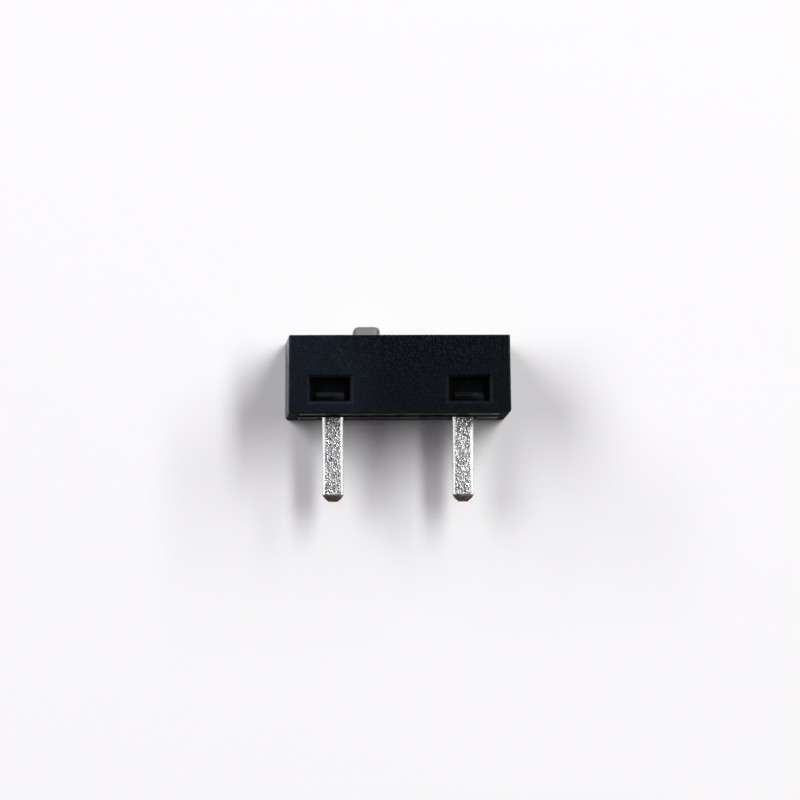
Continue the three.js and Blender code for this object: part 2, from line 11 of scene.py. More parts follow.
import bmesh
import bpy
from bpy.props import FloatProperty, FloatVectorProperty, PointerProperty
from bpy.types import NodeSocket, Operator, Panel, PropertyGroup
from mathutils import Matrix, Vector
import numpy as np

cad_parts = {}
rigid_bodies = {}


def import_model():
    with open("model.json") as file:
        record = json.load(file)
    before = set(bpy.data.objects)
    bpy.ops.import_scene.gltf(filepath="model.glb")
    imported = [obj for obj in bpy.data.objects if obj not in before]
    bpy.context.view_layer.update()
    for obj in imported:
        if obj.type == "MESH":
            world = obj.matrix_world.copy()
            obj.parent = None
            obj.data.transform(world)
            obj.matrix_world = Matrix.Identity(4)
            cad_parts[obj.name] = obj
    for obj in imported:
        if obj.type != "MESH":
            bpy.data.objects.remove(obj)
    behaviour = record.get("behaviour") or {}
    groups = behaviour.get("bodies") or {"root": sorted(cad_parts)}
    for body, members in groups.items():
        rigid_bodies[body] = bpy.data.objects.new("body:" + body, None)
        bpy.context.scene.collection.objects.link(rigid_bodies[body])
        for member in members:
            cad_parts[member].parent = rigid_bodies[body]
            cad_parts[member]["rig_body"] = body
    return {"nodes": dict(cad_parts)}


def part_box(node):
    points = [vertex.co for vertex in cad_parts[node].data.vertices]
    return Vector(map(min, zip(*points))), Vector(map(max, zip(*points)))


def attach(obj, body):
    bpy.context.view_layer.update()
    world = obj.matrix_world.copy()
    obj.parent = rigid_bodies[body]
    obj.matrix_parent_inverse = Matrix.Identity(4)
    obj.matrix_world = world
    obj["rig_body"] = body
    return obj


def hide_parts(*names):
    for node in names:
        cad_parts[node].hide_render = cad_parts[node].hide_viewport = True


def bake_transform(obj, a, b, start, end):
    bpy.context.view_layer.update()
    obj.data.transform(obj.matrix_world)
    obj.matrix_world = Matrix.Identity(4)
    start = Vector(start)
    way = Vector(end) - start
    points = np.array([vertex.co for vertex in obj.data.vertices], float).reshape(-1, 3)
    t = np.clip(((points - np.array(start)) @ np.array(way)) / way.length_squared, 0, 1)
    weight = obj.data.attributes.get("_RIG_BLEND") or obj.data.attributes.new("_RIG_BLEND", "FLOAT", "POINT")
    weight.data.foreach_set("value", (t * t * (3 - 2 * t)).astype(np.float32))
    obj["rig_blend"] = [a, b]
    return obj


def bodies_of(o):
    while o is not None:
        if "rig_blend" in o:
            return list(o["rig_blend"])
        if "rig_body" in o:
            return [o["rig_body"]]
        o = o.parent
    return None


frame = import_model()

bl_info = {
    "name": "Sealed Switch Looks",
    "version": (1, 0, 0),
    "blender": (4, 5, 0),
    "location": "3D View > Sidebar > Switch",
    "description": "Finishes the pieces of a sealed snap-action switch and sets its studio",
    "category": "Object",
}

MM = 0.001

# Finished copies of the solids
MERGE_DISTANCE = 1e-7  # metres
LEVEL_ANGLE = math.radians(0.3)  # faces that differ by less become one
BEVEL_ANGLE = math.radians(35)  # edges that turn by more are broken
SHARP_ANGLE = math.radians(40)  # edges that turn by more stay sharp in the shading
BEVEL_SEGMENTS = 2

SMOOTH_LEVELS = 2  # of subdivision, on a soft piece that is turned

# Seals swept round a rounded rectangle
PATH_CORNER_POINTS = 10
SECTION_CORNER_POINTS = 3
SECTION_POINTS = 72
SECTION_CORNER = 0.12  # radius, as a share of the section's height
HOLLOW_FROM = 0.45  # height above or below the section's middle, as a share of its height

# Ejector marks
MARK_GRID = (3, 2)  # along and across the switch
MARK_POINTS = 48
MARK_RIM_POINTS = 8

# Lamps in front of the table: how far right and up of the switch each one stands, and its half
# width and half height, all in lamp distances
PANEL_LAMPS = {
    "right_lamp": ((0.55, 0.52), (0.14, 0.62)),
    "left_lamp": ((-1.00, 0.51), (0.43, 0.67)),
    "far_right_lamp": ((1.24, 1.60), (0.20, 1.20)),
    "far_left_lamp": ((-1.99, 1.77), (0.38, 0.88)),
}
REAR_LAMP_SIZE = 0.4  # side of the square lamp, in lamp distances

SENSOR_WIDTH = 36  # millimetres, as the lens
CLIP_RATIO = 50  # the camera sees from its distance over this to its distance times this


# ---- settings ----


def length(label, text, millimetres):
    """A size property, given in millimetres and held in metres."""
    return FloatProperty(
        name=label, description=text, default=millimetres * MM, min=0, unit="LENGTH", precision=6
    )


def share(label, text, value):
    """A property from 0 to 1."""
    return FloatProperty(
        name=label, description=text, default=value, min=0, max=1, subtype="FACTOR"
    )


def angle(label, text, degrees):
    """An angle property, given in degrees."""
    return FloatProperty(
        name=label, description=text, default=math.radians(degrees), subtype="ANGLE"
    )


def colour(label, text, red, green, blue):
    """A colour property, in linear light."""
    return FloatVectorProperty(
        name=label,
        description=text,
        default=(red, green, blue),
        min=0,
        max=1,
        size=3,
        subtype="COLOR",
    )


def pointer(kind, label):
    """A property that holds a group of settings."""
    return PointerProperty(type=kind, name=label, description=f"Settings of the {label.lower()}")


class CoverLook(PropertyGroup):
    """Moulded shell with a spark-eroded grain"""

    tone: colour("Colour", "Colour of the moulded shell", 0.0, 0.0006, 0.0015)
    # Painted sheen: a paler, bluer colour painted over the face towards the -X end, and how far it reaches.
    painted_sheen: colour("Painted Sheen", "Colour of the bluish haze towards one end", 0.0062, 0.0088, 0.016)
    painted_sheen_reach: length("Haze Reach", "From the middle to where the haze is full", 5.0)
    painted_glint: colour("Painted Glint", "Light that the shiny side of a grain adds", 0.0115, 0.0155, 0.019)
    scratch: colour("Scratch", "Colour of fine scratches", 0.03, 0.034, 0.042)
    grain: length("Grain", "Size of one grain of the eroded texture", 0.11)
    grain_depth: length("Grain Depth", "Depth of the eroded texture", 0.014)
    roughness: share("Roughness", "Roughness of the grained faces", 0.3)
    polish: share("Polish", "How much smoother the shiny side of a grain is", 0.06)
    foot: length("Foot", "Height up to which the lower edge is dull and plain", 0.18)
    foot_fade: length("Foot Fade", "Height over which the foot turns into grain", 0.07)
    edge: length("Edge Radius", "Radius of the moulded edges", 0.05)


class BaseLook(PropertyGroup):
    """Smooth moulded base"""

    tone: colour("Colour", "Colour of the base", 0.0005, 0.0006, 0.0008)
    # Painted highlight: a paler colour painted on the up-and-out slopes of the catches, where light falls on
    # them.
    catch_highlight: colour("Catch Highlight", "Colour of the catches where the cover slid", 0.010, 0.0145, 0.021)
    scratch: colour("Scratch", "Colour of fine scratches", 0.02, 0.021, 0.023)
    roughness: share("Roughness", "Roughness of the smooth faces", 0.4)
    grain: length("Ripple", "Size of the faint ripple left by the mould", 0.16)
    grain_depth: length("Ripple Depth", "Depth of the ripple", 0.0012)
    edge: length("Edge Radius", "Radius of the moulded edges", 0.015)
    mark: length("Mark Radius", "Radius of an ejector mark", 0.3)
    mark_rim: length("Mark Rim", "Height of an ejector mark's rim", 0.012)
    mark_pitch_x: length("Mark Pitch X", "Between ejector marks along the switch", 3.6)
    mark_pitch_y: length("Mark Pitch Y", "Between ejector marks across the switch", 3.1)


class MetalLook(PropertyGroup):
    """Sheet metal of the terminals, the blade and the retainer"""

    tin: colour("Tin", "Colour of the plating", 0.76, 0.775, 0.80)
    dull_tin: colour("Dull Tin", "Colour of the plating where it has dulled", 0.60, 0.58, 0.54)
    # Partly real burnish, partly painted highlight: the bright colour of the rounded edges, where side
    # lights reflect.
    burnish_and_highlight: colour("Burnish And Highlight", "Colour of the edges that the tooling burnished", 0.93, 0.93, 0.92)
    brass: colour("Bare Tip", "Colour of the metal where the tips were cut off", 0.19, 0.14, 0.11)
    bronze: colour("Bronze", "Colour of the snap blade", 0.48, 0.26, 0.11)
    silver: colour("Silver", "Colour of the contacts", 0.82, 0.80, 0.76)
    tarnish: colour("Tarnish", "Colour of the contacts' tarnish", 0.50, 0.40, 0.26)
    zinc: colour("Zinc", "Colour of the retainer's plating", 0.52, 0.54, 0.57)
    zinc_tint: colour("Zinc Tint", "Colour of the film on the zinc", 0.60, 0.56, 0.42)
    mottle: length("Mottle", "Size of the patches of the tin plating", 0.09)
    mottle_depth: length("Mottle Depth", "Height of those patches", 0.025)
    tip: length("Tip Length", "Length of the bare tip of each pin", 0.42)
    edge: length("Edge Radius", "Radius of the broken edges", 0.012)


class ButtonLook(PropertyGroup):
    """Moulded button with its silicone boot"""

    tone: colour("Colour", "Colour of the button", 0.205, 0.199, 0.205)
    roughness: share("Roughness", "Roughness of the button", 0.42)
    polish: share("Polish", "How much smoother the top of the button is", 0.12)
    edge: length("Edge Radius", "Radius of the button's edges", 0.01)
    silicone: colour("Silicone", "Colour of the boot", 0.20, 0.024, 0.014)
    bloom: colour("Bloom", "Colour of the boot where it looks powdery", 0.33, 0.10, 0.07)
    groove: length("Groove Radius", "Radius of the plunger's groove with its play", 0.62)
    web: length("Web", "Thickness of the boot's thin web", 0.12)
    web_gap: length("Web Gap", "From the bead to the upright part of the web", 0.18)
    bead_height: length("Bead Height", "Height of the bead in the groove", 0.21)
    rim_width: length("Rim Width", "Width of the clamped rim outside the web", 0.4926)
    rim_height: length("Rim Height", "Height of the clamped rim", 0.25)


class SealLook(PropertyGroup):
    """Rubber gasket and resin"""

    rubber: colour("Rubber", "Colour of the gasket", 0.018, 0.019, 0.021)
    rubber_bloom: colour("Rubber Bloom", "Colour of the gasket's dusty places", 0.04, 0.04, 0.04)
    gasket_width: length("Gasket Width", "Width of the gasket's section", 0.45)
    gasket_corner: length("Gasket Corner", "Radius of the gasket's outer corners", 0.47)
    lip: length("Lip", "Hollow between the gasket's two lips", 0.035)
    resin: colour("Resin", "Colour of the resin round the pins", 0.006, 0.0055, 0.005)
    resin_tint: colour("Resin Tint", "Colour of the resin where it is thin", 0.012, 0.009, 0.006)
    resin_width: length("Resin Width", "Width of the resin round a pin", 0.24)
    resin_corner: length("Resin Corner", "Radius of the resin's outer corners", 0.44)
    meniscus: length("Meniscus", "How far the resin climbs at the pin and at the base", 0.045)


class StageLook(PropertyGroup):
    """Table, lamps and camera"""

    table: colour("Table", "Colour of the table", 0.93, 0.925, 0.93)
    table_size: length("Table Size", "Side of the table", 3000)
    lamp_distance: length("Lamp Distance", "From the table to the lamps", 900)
    right_lamp: share("Right Lamp", "The right lamp's part of the table's light", 0.465)
    left_lamp: share("Left Lamp", "The left lamp's part of the table's light", 0.322)
    far_right_lamp: share("Far Right Lamp", "The upper right lamp's part of it", 0.122)
    far_left_lamp: share("Far Left Lamp", "The upper left lamp's part of it", 0.072)
    rear_lamp: share("Rear Lamp", "Light on the rear face, which rests on the table", 0.6)
    fill: colour("Fill", "Faint even light from all round", 0.016, 0.004, 0.016)
    card: colour("Cards", "Colour of the black cards", 0.02, 0.02, 0.02)
    card_right: length("Card Right", "Right edge of the black cards, from the middle", 500)
    card_far: length("Card Far", "From the switch to the upright card in front of it", 1260)
    card_near: length("Card Near", "From the switch to the near edge of the lower card", 45)
    distance: length("Camera Distance", "From the front face to the camera", 499)
    view_width: length("View Width", "Width of the view at the front face", 45.85)
    aim_height: length("Aim Height", "Height that the camera looks at, above the seat", 0.815)
    azimuth: angle("Azimuth", "Turn of the camera about Z from straight in front", -2.77)
    elevation: angle("Elevation", "Camera above the level of the switch", -4.28)
    roll: angle("Roll", "Turn of the camera about its own axis", -0.35)


class SwitchLooks(PropertyGroup):
    """Settings of the whole switch"""

    cover: pointer(CoverLook, "Cover")
    base: pointer(BaseLook, "Base")
    metal: pointer(MetalLook, "Metal Pieces")
    button: pointer(ButtonLook, "Button")
    seals: pointer(SealLook, "Seals")
    stage: pointer(StageLook, "Stage")


# ---- node tools ----


def put(tree, kind, sockets=None, **settings):
    """Adds a node, sets its properties, and links or sets its inputs by index or name.

    An underscore in an input's name stands for a space.
    """
    node = tree.nodes.new(kind)
    for name, value in settings.items():
        setattr(node, name, value)
    for key, value in (sockets or {}).items():
        socket = node.inputs[key.replace("_", " ") if isinstance(key, str) else key]
        if isinstance(value, NodeSocket):
            tree.links.new(value, socket)
        else:
            socket.default_value = value
    return node


def result(tree, kind, sockets=None, **settings):
    """The first output of a new node."""
    return put(tree, kind, sockets, **settings).outputs[0]


def maths(tree, operation, *values, clamp=False):
    """The output of a Math node."""
    sockets = dict(enumerate(values))
    return result(tree, "ShaderNodeMath", sockets, operation=operation, use_clamp=clamp)


def times(tree, value, factor):
    """A value multiplied by another."""
    return maths(tree, "MULTIPLY", value, factor)


def vector(tree, x=0.0, y=0.0, z=0.0):
    """The vector of these parts."""
    return result(tree, "ShaderNodeCombineXYZ", {0: x, 1: y, 2: z})


def parts(tree, whole):
    """The x, y and z of a vector."""
    return put(tree, "ShaderNodeSeparateXYZ", {0: whole}).outputs


def blend_value(tree, factor, low, high):
    """A number between low and high."""
    return result(tree, "ShaderNodeMix", {0: factor, 2: low, 3: high}, data_type="FLOAT")


def blend_colour(tree, factor, under, over, way="MIX"):
    """A colour between under and over."""
    sockets = {
        0: factor,
        6: under if isinstance(under, NodeSocket) else (*under, 1),
        7: over if isinstance(over, NodeSocket) else (*over, 1),
    }
    return put(tree, "ShaderNodeMix", sockets, data_type="RGBA", blend_type=way).outputs[2]


def scaled(tone, factor):
    """A colour made darker or lighter."""
    return [factor * part for part in tone]


def ramp(tree, value, low, high, to_low=0.0, to_high=1.0):
    """The value, eased from low..high to to_low..to_high."""
    sockets = {0: value, 1: low, 2: high, 3: to_low, 4: to_high}
    return result(tree, "ShaderNodeMapRange", sockets, interpolation_type="SMOOTHSTEP")


def noise(tree, place, scale, detail=2.0, roughness=0.5, distortion=0.0):
    """The value of a noise texture."""
    sockets = {
        "Vector": place,
        "Scale": scale,
        "Detail": detail,
        "Roughness": roughness,
        "Distortion": distortion,
    }
    return result(tree, "ShaderNodeTexNoise", sockets)


def stretched(tree, whole, factors):
    """A vector multiplied by a factor along each axis."""
    sockets = {0: whole, 1: factors}
    return result(tree, "ShaderNodeVectorMath", sockets, operation="MULTIPLY")


# ---- effects ----


def shader_effect(outputs, **inputs):
    """Makes a function that fills a node tree into an effect that materials place.

    It is a shader node group, built once, that takes the place on the piece and these inputs.
    """

    def effect_of(fill):
        def place_effect(tree, place, **sockets):
            group = bpy.data.node_groups.get(fill.__name__) or effect_group(fill, outputs, inputs)
            sockets["Vector"] = place
            return put(tree, "ShaderNodeGroup", sockets, node_tree=group).outputs

        return place_effect

    return effect_of


def effect_group(fill, outputs, inputs):
    """The node group of an effect, named after the function that fills it."""
    tree = bpy.data.node_groups.new(fill.__name__, "ShaderNodeTree")
    tree.interface.new_socket("Vector", in_out="INPUT", socket_type="NodeSocketVector")
    for label, default in inputs.items():
        kind = "Vector" if isinstance(default, tuple) else "Float"
        socket = tree.interface.new_socket(label, in_out="INPUT", socket_type="NodeSocket" + kind)
        socket.default_value = default
    for label in outputs:
        tree.interface.new_socket(label, in_out="OUTPUT", socket_type="NodeSocketFloat")
    given = put(tree, "NodeGroupInput").outputs
    put(tree, "NodeGroupOutput", fill(tree, given))
    return tree


@shader_effect(["Height", "Glint"], Size=0.1 * MM)
def moulded_grain(tree, given):
    """Fine eroded grain: a height, and a mask of the grains that catch the light."""
    scale = maths(tree, "DIVIDE", 1.0, given["Size"])
    height = noise(tree, given["Vector"], scale, detail=2.0, roughness=0.6)
    finer = noise(tree, given["Vector"], times(tree, scale, 1.6), detail=1.0, roughness=0.7)
    return {"Height": height, "Glint": ramp(tree, finer, low=0.45, high=0.7)}


@shader_effect(["Mask"], Size=2 * MM)
def slow_drift(tree, given):
    """A broad, soft variation over a surface."""
    scale = maths(tree, "DIVIDE", 1.0, given["Size"])
    value = noise(tree, given["Vector"], scale, detail=3.0, roughness=0.45, distortion=0.6)
    return {"Mask": ramp(tree, value, low=0.32, high=0.68)}


@shader_effect(["Mask"], Length=1.2 * MM, Width=0.06 * MM, Amount=1.0)
def fine_scratches(tree, given):
    """Short thin scratches in three directions."""
    along = maths(tree, "DIVIDE", 1.0, given["Length"])
    across = maths(tree, "DIVIDE", 1.0, given["Width"])
    scale = vector(tree, along, across, across)
    deepest = 0.0
    for turn in ((0.5, 0.9, 0.35), (1.4, -0.7, 1.9), (-0.3, 2.2, 2.7)):
        sockets = {"Vector": given["Vector"], "Rotation": turn, "Scale": scale}
        place = result(tree, "ShaderNodeMapping", sockets)
        deepest = maths(tree, "MAXIMUM", deepest, noise(tree, place, scale=1.0, detail=1.0))
    return {"Mask": times(tree, ramp(tree, deepest, low=0.74, high=0.8), given["Amount"])}


@shader_effect(["Height", "Tone"], Size=0.1 * MM, Stretch=(1.0, 1.0, 1.0))
def metal_mottle(tree, given):
    """Patches of a plated or rolled metal: a height, and a tone from 0 to 1."""
    scale = maths(tree, "DIVIDE", 1.0, given["Size"])
    place = stretched(tree, given["Vector"], given["Stretch"])
    coarse = noise(tree, place, scale, detail=1.0, distortion=0.4)
    finer = noise(tree, place, times(tree, scale, 2.3), detail=1.0)
    height = maths(tree, "ADD", coarse, times(tree, finer, 0.35))
    return {"Height": height, "Tone": ramp(tree, coarse, low=0.34, high=0.66)}


# ---- materials ----


def new_material(name):
    """A material and its empty node tree."""
    made = bpy.data.materials.new(name)
    made.use_nodes = True
    made.node_tree.nodes.clear()
    return made, made.node_tree


def shaded(made, shader):
    """The material, with this shader put out."""
    put(made.node_tree, "ShaderNodeOutputMaterial", {"Surface": shader})
    return made


def surfaced(made, **sockets):
    """The material, with a surface shader that has these inputs."""
    return shaded(made, result(made.node_tree, "ShaderNodeBsdfPrincipled", sockets))


def own_place(tree):
    """The place on the piece, in its own coordinates."""
    return put(tree, "ShaderNodeTexCoord").outputs["Object"]


def own_facing(tree):
    """The x, y and z of the way that the surface faces, in the piece's own coordinates."""
    return parts(tree, put(tree, "ShaderNodeTexCoord").outputs["Normal"])


def bump(tree, height, distance):
    """A normal from a height."""
    return result(tree, "ShaderNodeBump", {"Height": height, "Distance": distance})


def cover_plastic(look):
    """Blue-black plastic with an eroded grain and painted glints on it, a painted sheen towards one end,
    plain at its lower edge.
    """
    made, tree = new_material("cover_plastic")
    place = own_place(tree)
    grain = moulded_grain(tree, place, Size=look.grain)
    drift = slow_drift(tree, place, Size=4.5 * MM)["Mask"]
    marks = fine_scratches(tree, place, Length=1.4 * MM, Width=0.05 * MM, Amount=0.3)["Mask"]
    spot = parts(tree, place)
    # Painted sheen: the face is painted paler and bluer towards the -X end.
    sheen_share = ramp(tree, spot[0], low=0.0, high=-look.painted_sheen_reach, to_low=0.03, to_high=0.85)
    sheen_share = maths(tree, "MULTIPLY", sheen_share, blend_value(tree, drift, 0.6, 1.4), clamp=True)
    foot = ramp(tree, spot[2], low=look.foot, high=look.foot - look.foot_fade)
    tone = blend_colour(tree, sheen_share, look.tone, look.painted_sheen)
    # Painted glints: grains that catch the light are painted lighter.
    tone = blend_colour(tree, grain["Glint"], tone, look.painted_glint, way="ADD")
    tone = blend_colour(tree, marks, tone, look.scratch)
    tone = blend_colour(tree, foot, tone, look.tone)
    rough = blend_value(tree, grain["Glint"], look.roughness, look.roughness - look.polish)
    height = blend_value(tree, foot, grain["Height"], 0.5)
    return surfaced(
        made,
        Base_Color=tone,
        Roughness=blend_value(tree, foot, rough, 1.0),
        Specular_IOR_Level=0.1,
        Normal=bump(tree, height, look.grain_depth),
    )


def base_plastic(look):
    """Smooth black plastic with a faint ripple, and a painted highlight on the slopes of its catches."""
    made, tree = new_material("base_plastic")
    place = own_place(tree)
    grain = moulded_grain(tree, place, Size=look.grain)
    drift = slow_drift(tree, place, Size=0.9 * MM)["Mask"]
    marks = fine_scratches(tree, place, Length=0.9 * MM, Width=0.04 * MM, Amount=0.4)["Mask"]
    facing = own_facing(tree)
    # Painted highlight: slopes that face up and out, on the catches, are painted paler, as if lit.
    upward = ramp(tree, facing[2], low=0.45, high=0.65)
    outward = ramp(tree, maths(tree, "ABSOLUTE", facing[1]), low=0.25, high=0.5)
    catch_highlight = times(tree, times(tree, upward, outward), blend_value(tree, drift, 0.45, 1.0))
    tone = blend_colour(tree, marks, look.tone, look.scratch)
    return surfaced(
        made,
        Base_Color=blend_colour(tree, catch_highlight, tone, look.catch_highlight),
        Roughness=blend_value(tree, drift, look.roughness - 0.05, look.roughness + 0.07),
        Specular_IOR_Level=0.05,
        Normal=bump(tree, grain["Height"], look.grain_depth),
    )


def tin_plating(look, tip_z):
    """Mottled tin, burnished and with a painted highlight at the rounded edges, sheared at the narrow sides,
    bare at the pin's tip.
    """
    made, tree = new_material("tin_plating")
    place = own_place(tree)
    mottle = metal_mottle(tree, place, Size=look.mottle, Stretch=(1.0, 1.0, 0.75))
    drift = slow_drift(tree, place, Size=0.9 * MM)["Mask"]
    marks = fine_scratches(tree, place, Length=0.8 * MM, Width=0.04 * MM)["Mask"]

    ragged = times(tree, noise(tree, place, scale=1 / (0.18 * MM)), 0.16 * MM)
    above_tip = maths(tree, "SUBTRACT", parts(tree, place)[2], tip_z)
    above_tip = maths(tree, "ADD", above_tip, ragged)
    bare = ramp(tree, above_tip, low=look.tip + 0.11 * MM, high=look.tip + 0.05 * MM)

    sideways = maths(tree, "ABSOLUTE", own_facing(tree)[0])
    sheared = ramp(tree, sideways, low=0.97, high=0.995)
    unsheared = maths(tree, "SUBTRACT", 1.0, sheared)
    rounded = times(tree, ramp(tree, sideways, low=0.06, high=0.3), unsheared)

    torn = stretched(tree, place, (1.0, 0.25, 3.0))
    torn = noise(tree, torn, scale=1 / (0.12 * MM), detail=3.0)
    relief = blend_value(tree, sheared, mottle["Height"], times(tree, torn, 0.3))
    relief = blend_value(tree, rounded, relief, times(tree, mottle["Height"], 0.25))

    tone = blend_colour(tree, mottle["Tone"], scaled(look.tin, 0.55), look.tin)
    tone = blend_colour(tree, times(tree, drift, 0.25), tone, look.dull_tin)
    # Rounded edges: partly real burnish, partly a painted highlight.
    tone = blend_colour(tree, rounded, tone, look.burnish_and_highlight)
    stained = blend_colour(tree, mottle["Tone"], look.brass, scaled(look.brass, 0.45))
    tone = blend_colour(tree, bare, tone, stained)
    rough = blend_value(tree, mottle["Tone"], 0.32, 0.21)
    rough = blend_value(tree, marks, rough, 0.5)
    rough = blend_value(tree, bare, rough, 0.5)
    return surfaced(
        made,
        Base_Color=tone,
        Metallic=1.0,
        Roughness=rough,
        Normal=bump(tree, relief, look.mottle_depth),
    )


def plain_metal(name, tone, tint, tint_share, drift, patch, rough, depth, stretch=(1.0, 1.0, 1.0)):
    """A metal in small patches, whose colour drifts towards a tint."""
    made, tree = new_material(name)
    place = own_place(tree)
    patches = metal_mottle(tree, place, Size=patch, Stretch=stretch)
    tinted = times(tree, slow_drift(tree, place, Size=drift)["Mask"], tint_share)
    return surfaced(
        made,
        Base_Color=blend_colour(tree, tinted, tone, tint),
        Metallic=1.0,
        Roughness=blend_value(tree, patches["Tone"], *rough),
        Normal=bump(tree, patches["Height"], depth),
    )


def spring_bronze(look):
    """Rolled bronze with fine lines along its length and a faint heat tint."""
    return plain_metal(
        "spring_bronze",
        tone=look.bronze,
        tint=scaled(look.bronze, 0.62),
        tint_share=0.5,
        drift=1.5 * MM,
        patch=0.05 * MM,
        rough=(0.26, 0.38),
        depth=0.0012 * MM,
        stretch=(0.04, 1.0, 1.0),
    )


def contact_silver(look):
    """Coined silver with a trace of tarnish."""
    return plain_metal(
        "contact_silver",
        tone=look.silver,
        tint=look.tarnish,
        tint_share=0.35,
        drift=0.4 * MM,
        patch=0.06 * MM,
        rough=(0.2, 0.34),
        depth=0.0015 * MM,
    )


def zinc_plating(look):
    """Passivated zinc on steel: small spangles and a faint yellow film."""
    return plain_metal(
        "zinc_plating",
        tone=look.zinc,
        tint=look.zinc_tint,
        tint_share=0.3,
        drift=0.9 * MM,
        patch=0.12 * MM,
        rough=(0.34, 0.5),
        depth=0.002 * MM,
    )


def button_plastic(look):
    """Grey plastic, a little clouded, with painted shade at its rounded edges and painted glints, rubbed
    smoother on top.
    """
    made, tree = new_material("button_plastic")
    place = own_place(tree)
    grain = moulded_grain(tree, place, Size=0.09 * MM)
    drift = slow_drift(tree, place, Size=0.5 * MM)["Mask"]
    marks = fine_scratches(tree, place, Length=0.5 * MM, Width=0.03 * MM, Amount=0.6)["Mask"]

    # How squarely the surface faces one of the axes: 1 on a flat, less on a rounded edge.
    facing = own_facing(tree)
    squarest = maths(tree, "ABSOLUTE", facing[0])
    for part in (facing[1], facing[2]):
        squarest = maths(tree, "MAXIMUM", squarest, maths(tree, "ABSOLUTE", part))
    rounded = times(tree, ramp(tree, squarest, low=0.99, high=0.86), 0.7)

    tone = blend_colour(tree, times(tree, drift, 0.5), look.tone, scaled(look.tone, 0.84))
    # Painted glints: grains that catch the light are painted lighter.
    tone = blend_colour(tree, times(tree, grain["Glint"], 0.5), tone, scaled(look.tone, 1.35))
    # Painted shade: the rounded edges are painted darker, as they turn away from the light.
    tone = blend_colour(tree, rounded, tone, scaled(look.tone, 0.55))
    top = ramp(tree, facing[2], low=0.6, high=1.0)
    rough = blend_value(tree, top, look.roughness, look.roughness - look.polish)
    return surfaced(
        made,
        Base_Color=tone,
        Roughness=blend_value(tree, marks, rough, 0.55),
        Specular_IOR_Level=0.4,
        Normal=bump(tree, grain["Height"], 0.0015 * MM),
    )


def soft_rubber(name, tone, bloom, bloom_share, drift, grain_size, rough, gloss, sheen=0.0):
    """A fine-grained rubber, whose colour drifts towards a bloom."""
    made, tree = new_material(name)
    place = own_place(tree)
    grain = moulded_grain(tree, place, Size=grain_size)
    dusty = times(tree, slow_drift(tree, place, Size=drift)["Mask"], bloom_share)
    return surfaced(
        made,
        Base_Color=blend_colour(tree, dusty, tone, bloom),
        Roughness=blend_value(tree, grain["Glint"], *rough),
        Specular_IOR_Level=gloss,
        Sheen_Weight=sheen,
        Normal=bump(tree, grain["Height"], 0.001 * MM),
    )


def boot_silicone(look):
    """Soft red silicone with a powdery bloom."""
    return soft_rubber(
        "boot_silicone",
        tone=look.silicone,
        bloom=look.bloom,
        bloom_share=0.35,
        drift=0.7 * MM,
        grain_size=0.05 * MM,
        rough=(0.62, 0.45),
        gloss=0.4,
        sheen=0.15,
    )


def gasket_rubber(look):
    """Matt dark rubber."""
    return soft_rubber(
        "gasket_rubber",
        tone=look.rubber,
        bloom=look.rubber_bloom,
        bloom_share=0.5,
        drift=1.2 * MM,
        grain_size=0.04 * MM,
        rough=(0.85, 0.7),
        gloss=0.3,
    )


def seal_resin(look):
    """Glossy black resin with a few pits where bubbles burst."""
    made, tree = new_material("seal_resin")
    place = own_place(tree)
    sockets = {"Vector": place, "Scale": 1 / (0.22 * MM)}
    cells = put(tree, "ShaderNodeTexVoronoi", sockets).outputs
    # Each cell has a random number, and the few with a high one hold a pit.
    number = result(tree, "ShaderNodeSeparateColor", {0: cells["Color"]})
    chosen = ramp(tree, number, low=0.7, high=0.72)
    pit = times(tree, ramp(tree, cells["Distance"], low=0.2, high=0.1), chosen)
    drift = slow_drift(tree, place, Size=0.5 * MM)["Mask"]
    return surfaced(
        made,
        Base_Color=blend_colour(tree, times(tree, drift, 0.5), look.resin, look.resin_tint),
        Roughness=blend_value(tree, drift, 0.12, 0.22),
        Specular_IOR_Level=0.5,
        Normal=bump(tree, maths(tree, "SUBTRACT", 1.0, pit), 0.012 * MM),
    )


def table_top(look):
    """White table that only shows from the side that the switch lies on."""
    made, tree = new_material("table_top")
    cloud = times(tree, noise(tree, own_place(tree), scale=1 / (9 * MM), detail=3.0), 0.5)
    tone = blend_colour(tree, cloud, look.table, scaled(look.table, 0.985))
    matt = result(tree, "ShaderNodeBsdfDiffuse", {"Color": tone})
    clear = result(tree, "ShaderNodeBsdfTransparent")
    back = put(tree, "ShaderNodeNewGeometry").outputs["Backfacing"]
    return shaded(made, result(tree, "ShaderNodeMixShader", {0: back, 1: matt, 2: clear}))


def card_black(look):
    """Flat black of the cards that give the metal something dark to mirror."""
    made, tree = new_material("card_black")
    return shaded(made, result(tree, "ShaderNodeBsdfDiffuse", {"Color": (*look.card, 1)}))


# ---- shapes ----


def new_object(name, data):
    """An object at the origin for a mesh, a lamp or a camera."""
    made = bpy.data.objects.new(name, data)
    bpy.context.scene.collection.objects.link(made)
    return made


def built(name, points, faces):
    """An object of these points and faces, with its place in its mesh."""
    mesh = bpy.data.meshes.new(name)
    mesh.from_pydata(points, [], faces)
    return new_object(name, mesh)


def applied(thing):
    """The object with its modifiers applied to a plain mesh."""
    view = bpy.context.evaluated_depsgraph_get()
    mesh = bpy.data.meshes.new_from_object(thing.evaluated_get(view), depsgraph=view)
    thing.modifiers.clear()
    thing.data = mesh
    mesh.name = thing.name
    return thing


def modified(thing, kind, **values):
    """The object with a modifier of this kind applied to its mesh."""
    modifier = thing.modifiers.new(kind.lower(), kind)
    for name, value in values.items():
        setattr(modifier, name, value)
    return applied(thing)


def paint(thing, material):
    """Gives the whole object one material."""
    thing.data.materials.clear()
    thing.data.materials.append(material)


